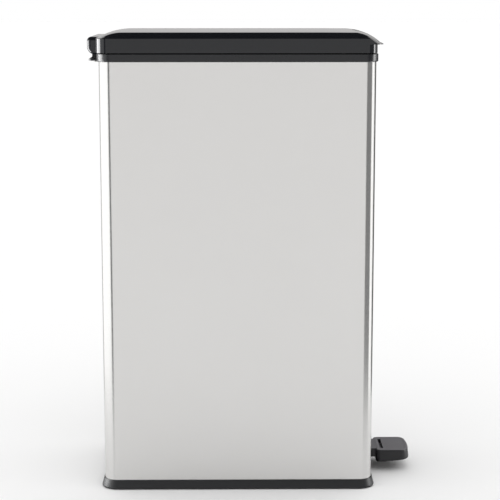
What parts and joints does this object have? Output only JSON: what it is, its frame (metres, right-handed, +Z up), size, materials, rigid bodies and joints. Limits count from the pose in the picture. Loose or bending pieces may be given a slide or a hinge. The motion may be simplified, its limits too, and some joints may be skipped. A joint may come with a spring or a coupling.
{
  "type": "pedal trash can",
  "caption": "Slim rectangular pedal trash can: brushed steel body, glossy black hinged lid, black rim, base and foot pedal, push rod linkage and removable inner bucket.",
  "frame": {"origin": "centre of the overall box, on the floor under the can", "axes": "+Z up; -Y to the front, where the pedal is; +X across the width, to the right of someone who looks along +Y"},
  "size_m": [0.2448, 0.4812, 0.67],
  "materials": {
    "body_steel": "brushed stainless sheet with a fine grain",
    "zinc_steel": "bright zinc plated",
    "gloss_black": "glossy moulded",
    "satin_black": "satin moulded",
    "grey_plastic": "fine moulded texture",
    "rubber_black": "matt rubber"
  },
  "bodies": {
    "can": {"outer_shell": "body_steel", "rod_channel": "zinc_steel", "hinge_pin": "zinc_steel", "pedal_axle": "zinc_steel", "axle_clip_left": "zinc_steel", "axle_clip_right": "zinc_steel", "ear_screw_left": "zinc_steel", "ear_screw_right": "zinc_steel", "base_tray": "satin_black", "top_rim": "satin_black", "hinge_ear_left": "satin_black", "hinge_ear_right": "satin_black", "bucket_platform": "grey_plastic", "rod_bush_lower": "grey_plastic", "rod_bush_upper": "grey_plastic", "axle_bracket_left": "grey_plastic", "axle_bracket_right": "grey_plastic", "inner_bucket": "grey_plastic", "foot_1": "rubber_black", "foot_2": "rubber_black", "foot_3": "rubber_black", "foot_4": "rubber_black"},
    "lid": {"lid_shell": "gloss_black", "lid_liner": "grey_plastic", "lid_horn": "satin_black", "liner_screw_1": "zinc_steel", "liner_screw_2": "zinc_steel", "liner_screw_3": "zinc_steel", "liner_screw_4": "zinc_steel", "horn_screw_1": "zinc_steel", "horn_screw_2": "zinc_steel", "lid_buffer_1": "rubber_black", "lid_buffer_2": "rubber_black", "lid_buffer_3": "rubber_black", "lid_buffer_4": "rubber_black"},
    "pedal": {"pedal_lever": "zinc_steel", "pedal_tread": "satin_black", "tread_screw_left": "zinc_steel", "tread_screw_right": "zinc_steel"},
    "rod": {"push_rod": "zinc_steel", "rod_foot_cap": "satin_black", "rod_head_cap": "satin_black"}
  },
  "joints": [
    {"name": "lid_hinge", "type": "hinge", "parent": "can", "child": "lid", "pos_m": [0, 0.22935, 0.648], "axis": [-1, 0, 0], "range_deg": [0, 80]},
    {"name": "pedal_pivot", "type": "hinge", "parent": "can", "child": "pedal", "pos_m": [0, -0.12665, 0.024], "axis": [1, 0, 0], "range_deg": [0, 6.1]},
    {"name": "rod_slide", "type": "slide", "parent": "can", "child": "rod", "axis": [0, 0, 1], "range_m": [0, 0.0355]}
  ],
  "couplings": [
    {"joint": "pedal_pivot", "follows": "lid_hinge", "ratio": 0.0756},
    {"joint": "rod_slide", "follows": "lid_hinge", "m_per_rad": 0.02532}
  ]
}
